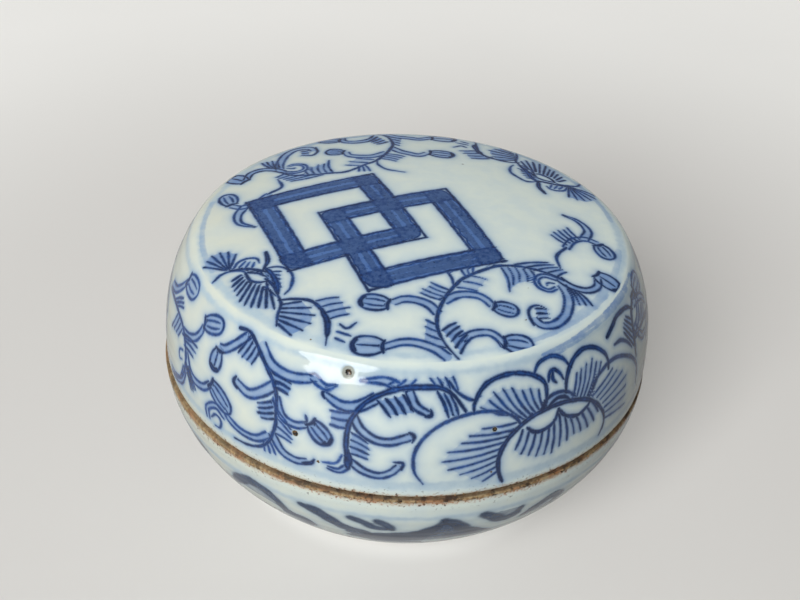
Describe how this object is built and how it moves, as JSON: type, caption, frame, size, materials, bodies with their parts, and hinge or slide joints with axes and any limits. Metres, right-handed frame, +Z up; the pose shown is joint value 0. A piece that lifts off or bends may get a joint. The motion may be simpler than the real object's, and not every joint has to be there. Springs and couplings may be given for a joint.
{
  "type": "seal paste box",
  "caption": "Round glazed porcelain box on a foot ring, with a domed lift-off lid seated over a locating lip and a cake of red seal paste inside.",
  "frame": {"origin": "centre of the foot ring's underside, where the box stands on the table", "axes": "+Z up along the box's axis, -Y towards the picture's viewer"},
  "size_m": [0.087, 0.087, 0.0524],
  "materials": {
    "porcelain": "gloss",
    "paste": "satin"
  },
  "bodies": {
    "bowl": {"base": "porcelain", "seal_paste": "paste"},
    "lid": {"lid": "porcelain"}
  },
  "joints": [
    {"name": "lid_lift", "type": "slide", "parent": "bowl", "child": "lid", "axis": [0, 0, 1], "range_m": [0, 0.06]}
  ]
}
